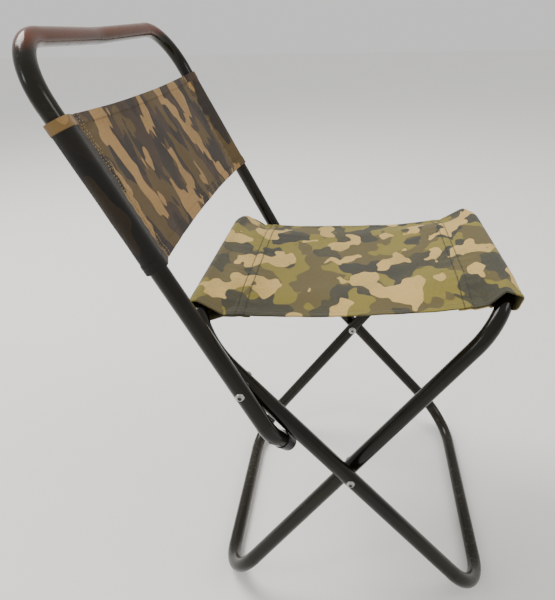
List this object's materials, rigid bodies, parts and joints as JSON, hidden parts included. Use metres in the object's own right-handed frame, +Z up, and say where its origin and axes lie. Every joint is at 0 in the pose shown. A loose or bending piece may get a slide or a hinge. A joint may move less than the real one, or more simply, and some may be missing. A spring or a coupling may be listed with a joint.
{
  "type": "folding camp chair",
  "caption": "Folding camp chair with crossed tube leg frames, a leaning tube backrest, a camouflage cloth seat and a camouflage cloth back panel.",
  "frame": {"origin": "on the floor, under the middle of the chair's outer box, with the chair open", "axes": "+X forward, out over the sitter's knees; +Y to the sitter's left; +Z up"},
  "size_m": [0.474, 0.4242, 0.695],
  "materials": {
    "frame_paint": "gloss olive-black paint over steel tube",
    "plug_steel": "plain steel, hidden inside the tube",
    "rivet_steel": "bright zinc-plated steel",
    "washer_steel": "zinc-plated steel",
    "end_cap_plastic": "smooth black plastic",
    "seat_camouflage": "woven polyester cloth, printed in sand, olive, grey-green and dark grey",
    "backrest_camouflage": "woven polyester cloth, the same print turned a quarter turn, with the shapes along the tubes",
    "thread": "dark olive-brown sewing thread"
  },
  "bodies": {
    "outer_frame": {"outer_leg_frame": "frame_paint", "outer_frame_joint_plug": "plug_steel", "seat_cloth": "seat_camouflage", "rear_seat_stitching": "thread", "left_cross_rivet": "rivet_steel", "left_cross_spacer": "washer_steel", "left_cross_end_washer": "washer_steel", "left_backrest_rivet": "rivet_steel", "left_backrest_spacer": "washer_steel", "left_backrest_end_washer": "washer_steel", "right_cross_rivet": "rivet_steel", "right_cross_spacer": "washer_steel", "right_cross_end_washer": "washer_steel", "right_backrest_rivet": "rivet_steel", "right_backrest_spacer": "washer_steel", "right_backrest_end_washer": "washer_steel"},
    "inner_frame": {"inner_leg_frame": "frame_paint", "inner_frame_joint_plug": "plug_steel", "front_seat_stitching": "thread"},
    "backrest": {"backrest_frame": "frame_paint", "backrest_cloth": "backrest_camouflage", "left_end_cap": "end_cap_plastic", "right_end_cap": "end_cap_plastic", "left_backrest_stitching": "thread", "right_backrest_stitching": "thread"}
  },
  "joints": [
    {"name": "fold", "type": "hinge", "parent": "outer_frame", "child": "inner_frame", "pos_m": [0.053, 0, 0.21417], "axis": [0, -1, 0], "range_deg": [0, 73], "deforming": ["seat_cloth"]},
    {"name": "backrest_fold", "type": "hinge", "parent": "outer_frame", "child": "backrest", "pos_m": [-0.05721, 0, 0.34882], "axis": [0, 1, 0], "range_deg": [0, 90]}
  ]
}
